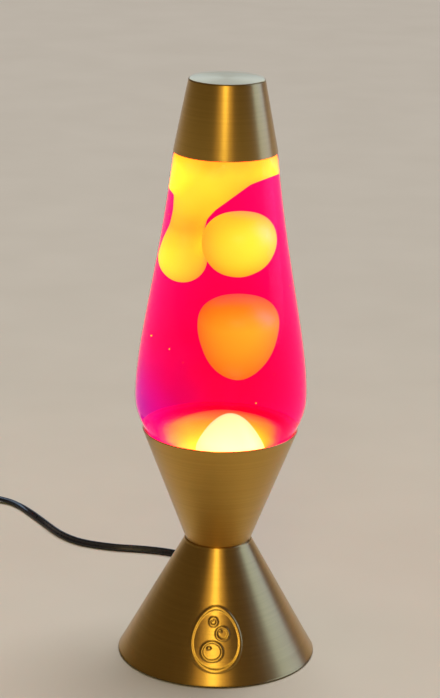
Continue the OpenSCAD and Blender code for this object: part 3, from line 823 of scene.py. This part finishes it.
def add_mound():
    """The wax swelling up over the bulb, which has the brightest painted glow."""
    x, y, apex = 7 * MM, -13 * MM, 182 * MM
    radius, drop, steps = 26 * MM, 28.5 * MM, 32
    side = [(radius * i / steps, apex - drop * (i / steps) ** 2) for i in range(steps + 1)]
    mound = lathe("wax_mound", side + [(0, apex - drop)], 128, ALL_SMOOTH, closed=False)
    for v in mound.data.vertices:
        v.co += Vector((x, y, 0))
        v.co.z += 0.5 * MM * noise.noise(v.co * 60)
    # Painted glow: brightest at this point over the bulb, a little less white further off
    painted_glow_centre = (x, y, 166 * MM)
    material = wax("wax_mound_glow", from_point(painted_glow_centre, 4 * MM, 30 * MM), MOUND_PAINTED_GLOW, 24.0)
    finish_piece(mound, material, "wax_glowing", "globe")


def add_top_wax():
    """Wax gathered under the shoulder, with the lobe that sinks from it.

    It is one skin round balls, given as (centre, radius) in millimetres: a chain of them down the
    lobe, filled in between, and a crown of them in the neck.
    """
    chain = [((28, 0, 365), 17.5), ((8, 0, 358), 18.5), ((-8, 0, 347), 19.8), ((-17.5, 3, 334.5), 16.4),
             ((-22.5, 6, 320.5), 11.9), ((-25, 8, 307), 11.9), ((-26.7, 9, 295.5), 14.8),
             ((-27.3, 9.5, 286.3), 16.7)]
    crown = [((x * 13, y * 13, 380), 17) for x in (-1, 0, 1) for y in (-1, 0, 1)]
    crown += [((22, -12, 378), 12), ((22, 13, 368), 16.5), ((4, -12, 376), 12), ((4, 14, 360), 17),
              ((-14, -12, 372), 12), ((-14, 13, 352), 17), ((-23, 0, 352), 17), ((-25, 1, 345), 14.5),
              ((-24, 8, 342), 13)]
    filled, between = [], 6
    for (a, ra), (b, rb) in zip(chain, chain[1:]):
        for k in range(between):
            t = k / between
            filled.append((Vector(a) * (1 - t) + Vector(b) * t, ra + (rb - ra) * t))
    solids = [ball(Vector(c) * MM, r * MM) for c, r in filled + chain[-1:] + crown]
    top = join_solids("wax_top_skin", solids, 1.1 * MM, 24)
    keep_inside_glass(top)
    for v in top.data.vertices:
        v.co.z = min(v.co.z, WAX_LEVEL)
    # Painted glow: yellow low on the lobe, orange at its narrow neck and dimmer towards the top
    material = wax("wax_top_glow", along_z(0.262, 0.372), TOP_PAINTED_GLOW, 11.0)
    finish_piece(top, material, "wax_yellow", "globe", "wax_top")


def squarish(above, below, high, low, lean=0.0):
    """The shape of a floating blob, for ball().

    above and below say how square it is over and under its middle, high and low how far it reaches
    there, and lean tips it to one side.
    """
    def scale(d):
        power, reach = (above, high) if d.z > 0 else (below, low)
        side = math.hypot(d.x, d.y)
        r = 1.0 / ((side ** power + abs(d.z / reach) ** power) ** (1 / power))
        wobble = 1 + 0.02 * noise.noise(d * 1.6 + Vector((3.1, 0.4, 2.2)))
        return r * wobble * (1 + lean * d.x * d.z)
    return scale


def add_blob(name, node, body, centre, radius, shape, material, slot):
    solid = ball(Vector(centre) * MM, radius * MM, 96, 64, shape)
    blob = add_mesh(name, *solid, ALL_SMOOTH)
    finish_piece(blob, material, slot, body, node)


def add_droplets():
    """Beads of wax that cling to the inside of the glass."""
    solids = []
    for _ in range(12):
        a, z = random.uniform(0, 2 * math.pi), random.uniform(0.172, 0.345)
        size = random.uniform(0.25, 0.6)
        r = glass_radius(z) - LIQUID_IN - size * 0.6 * MM
        solids.append(ball((r * math.cos(a), r * math.sin(a), z), size * MM, 12, 8))
    beads = add_mesh("wax_beads", *together(solids), ALL_SMOOTH)
    # Painted glow: the beads take the yellow wax ramp, paler higher up
    material = wax("wax_bead_glow", along_z(0.17, 0.34), YELLOW_PAINTED_GLOW, 1.2)
    finish_piece(beads, material, "wax_yellow", "globe")


def add_wire_coil():
    """The coil of spring wire that lies in the pool."""
    low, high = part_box("wire_coil")
    wire_r, turns, steps = 0.45 * MM, 58, 14
    ring_r = high.x - (high.z - low.z) / 2
    middle_z = (low.z + high.z) / 2
    turn_r = (high.z - low.z) / 2 - wire_r
    path = []
    for i in range(turns * steps):
        out, up = on_circle(turn_r, i, steps)
        path.append(Vector((*on_circle(ring_r + out, i, turns * steps), middle_z + up)))
    section = [on_circle(wire_r, k, 6) for k in range(6)]
    wire = sweep("spring_wire", path, section, up=(0.3, 0.2, 1))
    finish_piece(wire, STEEL, "coil_steel", "globe", "wire_coil")


add_glass()
add_liquid()
add_pool()
add_mound()
add_top_wax()
# Painted glow on the blobs: the upper one yellow and paler at its top, the middle one orange and
# darkest at its bottom
add_blob("wax_blob_upper_skin", "wax_blob_upper", "upper_blob", (10.4, -10.5, 303.7), 24.9,
         squarish(2.35, 2.05, 0.83, 0.95, lean=0.05),
         wax("wax_upper_glow", along_z(0.262, 0.324), YELLOW_PAINTED_GLOW, 4.3), "wax_yellow")
add_blob("wax_blob_middle_skin", "wax_blob_middle", "middle_blob", (11, -6, 244.5), 27.4,
         squarish(2.45, 1.92, 0.72, 1.44, lean=0.02),
         wax("wax_middle_glow", along_z(0.198, 0.268), ORANGE_PAINTED_GLOW, 4.4), "wax_orange")
add_droplets()
add_wire_coil()

# ---- finishes of the CAD pieces that stay --------------------------------------------

KEPT = {
    "waist_screws": STEEL, "waist_nuts": STEEL, "socket_bracket": STEEL, "cover_screws": STEEL,
    "switch_screws": STEEL, "socket_nipple": BRASS, "socket_locknut": BRASS, "socket_shell": BRASS,
    "socket_contact": BRASS, "terminal_screws": BRASS, "plug_blades": PLATED, "socket_body": PHENOLIC,
    "bottom_cover": COVER, "rubber_feet": RUBBER, "inner_cord": VINYL, "strain_relief": VINYL,
    "switch_base": SWITCH, "switch_top": SWITCH, "switch_wheel": WHEEL, "cord_tie": TIE,
    "plug_body": VINYL, "crown_cap": TIN, "crown_liner": LINER, "bulb_envelope": FROSTED,
    "bulb_shell": BULB_METAL, "bulb_contact": BULB_METAL, "bulb_insulator": BLACK_GLASS,
    "bulb_stem": FROSTED, "bulb_filament": TUNGSTEN,
}
for node, material in KEPT.items():
    kept = nodes[node]
    kept.data.materials.clear()
    kept.data.materials.append(material)
    smooth(kept, 30)

# ---- floor and light -----------------------------------------------------------------


def add_floor():
    size = 90.0
    corners = [(-size, -size, 0), (size, -size, 0), (size, size, 0), (-size, size, 0)]
    floor = add_mesh("floor", corners, [[0, 1, 2, 3]])
    material = surface("pale_floor", (0.63, 0.59, 0.53), (0.655, 0.615, 0.555), (0.55, 0.7),
                       (60, 60, 60), 0.0002, strength=0.15, Specular_IOR_Level=0.0)
    floor.data.materials.append(material)


def add_window(name, place_at, size, power, colour, diffuse):
    """A rectangle of light aimed at the lamp; without diffuse it lights only what is shiny or clear."""
    data = bpy.data.lights.new(name, "AREA")
    data.shape = "RECTANGLE"
    data.size, data.size_y = size
    data.energy = power
    data.color = colour
    light = bpy.data.objects.new(name, data)
    light.location = place_at
    light.rotation_euler = (LAMP_MIDDLE - Vector(place_at)).to_track_quat("-Z", "Y").to_euler()
    light.visible_diffuse = diffuse
    bpy.context.scene.collection.objects.link(light)


def add_world():
    world = bpy.data.worlds.new("studio")
    bpy.context.scene.world = world
    world.use_nodes = True
    background = world.node_tree.nodes["Background"]
    background.inputs["Color"].default_value = (0.62, 0.46, 0.35, 1.0)
    background.inputs["Strength"].default_value = 0.16


def add_sky():
    """A broad, even light from overhead, so that the floor is the same brightness far behind."""
    data = bpy.data.lights.new("overhead", "SUN")
    data.energy = 2.3
    data.angle = math.radians(50)
    data.color = (1.0, 0.99, 0.97)
    light = bpy.data.objects.new("overhead", data)
    light.rotation_euler = (math.radians(-22), math.radians(12), 0)
    light.visible_glossy = False
    bpy.context.scene.collection.objects.link(light)


LAMP_MIDDLE = Vector((0, 0, 0.2))
WINDOWS = [     # name, place, size, watts, colour, diffuse
    ("front_window", (-0.15, -2.8, 1.7), (0.65, 2.0), 15, (1.0, 0.92, 0.42), True),
    ("front_room", (-0.2, -2.9, 1.7), (2.2, 2.0), 12, (1.0, 0.66, 0.30), False),
    ("right_window", (2.13, 0.38, 1.1), (1.6, 2.2), 42, (0.15, 0.28, 1.0), False),
    ("back_window", (0.3, 3.6, 1.7), (3.0, 1.4), 26, (0.50, 0.73, 1.0), False)]
add_floor()
add_world()
add_sky()
for window in WINDOWS:
    add_window(*window)
bpy.context.scene.view_settings.view_transform = "Standard"
